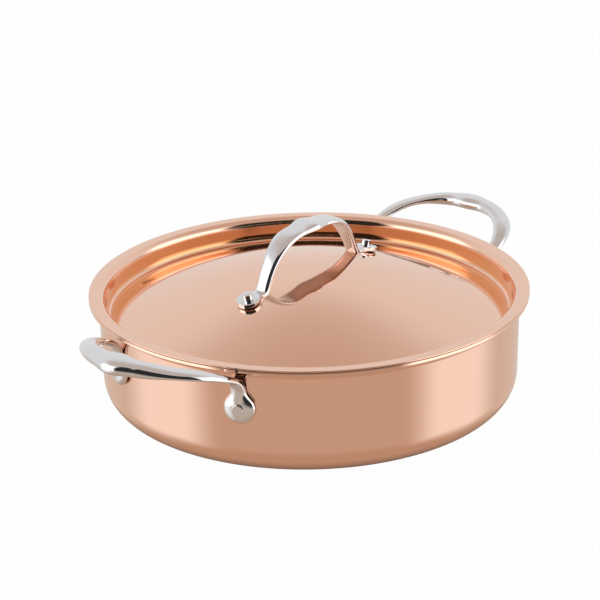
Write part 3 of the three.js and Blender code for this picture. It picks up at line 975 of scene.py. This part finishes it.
def fine_scratches():
    """Hair-fine scratches in two directions, as on polished cast metal."""
    tree, given, result = new_group("fine_scratches", {"Density": 500.0}, "Scratches")
    place = place_on_object(tree)
    sets = []
    for turn, stretch in SCRATCH_LAYS:
        laid = make(tree, "Mapping", place, vector_type="POINT")
        laid.inputs["Rotation"].default_value = (turn, turn, turn)
        laid.inputs["Scale"].default_value = stretch
        lines = noise(
            tree, "3D", Vector=laid.outputs[0], Scale=given.outputs["Density"],
            Detail=SCRATCH_DETAIL,
        )
        sets.append(rising(tree, lines, *SCRATCH_EDGE))
    tree.links.new(math_node(tree, "MAXIMUM", *sets), result)
    return tree


def edge_wear():
    """Edges rubbed brighter than the faces beside them."""
    tree, given, result = new_group("edge_wear", {"Start": 0.52, "End": 0.62}, "Wear")
    point = make(tree, "NewGeometry").outputs["Pointiness"]
    tree.links.new(given_step(tree, given, point), result)
    return tree


def satin_and_shaded_underside():
    """Faces that look down: satin, as the polishing wheel reached them less, and painted darker in
    colour as shade under the handles.
    """
    tree, given, result = new_group("satin_and_shaded_underside", {"Start": -0.6, "End": -0.92}, "Satin")
    facing = make(tree, "NewGeometry").outputs["Normal"]
    tree.links.new(given_step(tree, given, upright_part(tree, facing)), result)
    return tree


def painted_groove_reflection():
    """Painted reflection: the steep wall round the lid's trough, where a deeper, darker copper
    colour stands in for light bounced back and forth between the copper walls.
    """
    tree, _, result = new_group("painted_groove_reflection", {}, "Groove")
    place = place_on_object(tree)
    radius = length(tree, level_part(tree, place))
    height = upright_part(tree, place)
    foot = DOME_FOOT + LID_TROUGH_FILLET / 2
    top = LID_TOP - LID_FLANGE_FILLET
    bend = DOME_RADIUS - LID_TROUGH_FILLET

    def past(value, start, end):
        return rising(tree, value, start * MM, end * MM)

    upright = math_node(
        tree, "MULTIPLY",
        past(height, foot - GROOVE_EDGE, foot + GROOVE_EDGE),
        past(height, top, top - GROOVE_EDGE),
    )
    around = math_node(
        tree, "MULTIPLY",
        past(radius, bend - GROOVE_EDGE, bend + GROOVE_EDGE),
        past(radius, FLANGE_INNER + GROOVE_EDGE, FLANGE_INNER),
    )
    tree.links.new(math_node(tree, "MULTIPLY", upright, around), result)
    return tree


# Metals

def new_metal(name):
    material = bpy.data.materials.new(name)
    material.use_nodes = True
    tree = material.node_tree
    shader = tree.nodes["Principled BSDF"]
    shader.inputs["Metallic"].default_value = 1.0
    return material, tree, shader


def placed_group(tree, group, **values):
    made = tree.nodes.new("ShaderNodeGroup")
    made.node_tree = group
    for name, value in values.items():
        made.inputs[name].default_value = value
    return made.outputs[0]


def set_colour(tree, shader, colour, *layers):
    """Base colour of a metal, with further colours laid over it by their masks."""
    for mask, laid in layers:
        colour = blended(tree, mask, colour, laid)
    tree.links.new(colour, shader.inputs["Base Color"])


def set_roughness(tree, shader, roughness, *layers):
    """Roughness of a metal, with more added to it by masks."""
    for mask, added in layers:
        roughness = math_node(tree, "MULTIPLY_ADD", mask, added, roughness)
    tree.links.new(roughness, shader.inputs["Roughness"])


def set_bump(tree, shader, height, strength, depth):
    """Feeds a height to the shader's normal through a bump."""
    bump = tree.nodes.new("ShaderNodeBump")
    bump.inputs["Strength"].default_value = strength
    bump.inputs["Distance"].default_value = depth
    tree.links.new(height, bump.inputs["Height"])
    tree.links.new(bump.outputs["Normal"], shader.inputs["Normal"])


def make_materials():
    rings, smudges, scratches, wear = polish_rings(), hand_smudges(), fine_scratches(), edge_wear()

    copper, tree, shader = new_metal("mirror_copper")
    lines = placed_group(tree, rings, Density=1400.0, Along=5.0)
    smudge = placed_group(tree, smudges, Scale=22.0)
    worn = placed_group(tree, wear)
    # Painted reflection: deeper copper colour on the lid's trough wall
    groove_reflection_mask = placed_group(tree, painted_groove_reflection())
    set_colour(
        tree, shader, COPPER,
        (lines, COPPER_RINGED), (worn, COPPER_WORN), (groove_reflection_mask, COPPER_GROOVE_REFLECTION),
    )
    set_roughness(
        tree, shader, COPPER_ROUGHNESS,
        (lines, COPPER_RING_ROUGHNESS), (smudge, COPPER_SMUDGE_ROUGHNESS),
    )
    set_bump(tree, shader, lines, COPPER_BUMP_STRENGTH, COPPER_BUMP_DEPTH)

    aluminium, tree, shader = new_metal("core_aluminium")
    grain = placed_group(tree, scratches, Density=900.0)
    set_colour(tree, shader, ALUMINIUM, (grain, ALUMINIUM_GRAIN))
    set_roughness(tree, shader, ALUMINIUM_ROUGHNESS, (grain, ALUMINIUM_GRAIN_ROUGHNESS))

    lining, tree, shader = new_metal("brushed_lining")
    lines = placed_group(tree, rings, Density=1600.0, Along=3.0)
    smudge = placed_group(tree, smudges, Scale=18.0)
    set_colour(tree, shader, LINING, (lines, LINING_RINGED))
    set_roughness(
        tree, shader, LINING_ROUGHNESS,
        (lines, LINING_RING_ROUGHNESS), (smudge, LINING_SMUDGE_ROUGHNESS),
    )
    set_bump(tree, shader, lines, LINING_BUMP_STRENGTH, LINING_BUMP_DEPTH)

    steel, tree, shader = new_metal("mirror_steel")
    scratch = placed_group(tree, scratches, Density=600.0)
    smudge = placed_group(tree, smudges, Scale=60.0)
    worn = placed_group(tree, wear)
    # Down-facing steel: real satin roughness, plus a darker colour painted as shade
    satin_and_shade = placed_group(tree, satin_and_shaded_underside())
    set_colour(
        tree, shader, STEEL,
        (smudge, STEEL_SMUDGED), (worn, STEEL_WORN), (satin_and_shade, STEEL_SHADED_UNDERSIDE),
    )
    set_roughness(
        tree, shader, STEEL_ROUGHNESS,
        (scratch, STEEL_SCRATCH_ROUGHNESS), (smudge, STEEL_SMUDGE_ROUGHNESS),
        (satin_and_shade, STEEL_SATIN_ROUGHNESS),
    )
    set_bump(tree, shader, scratch, STEEL_BUMP_STRENGTH, STEEL_BUMP_DEPTH)
    return copper, aluminium, lining, steel


place_camera()
light_studio()
lay_floor()
shade_floor()
copper, aluminium, lining, steel = make_materials()
make_pan(copper, aluminium, lining, steel)
make_lid(copper, lining, steel)
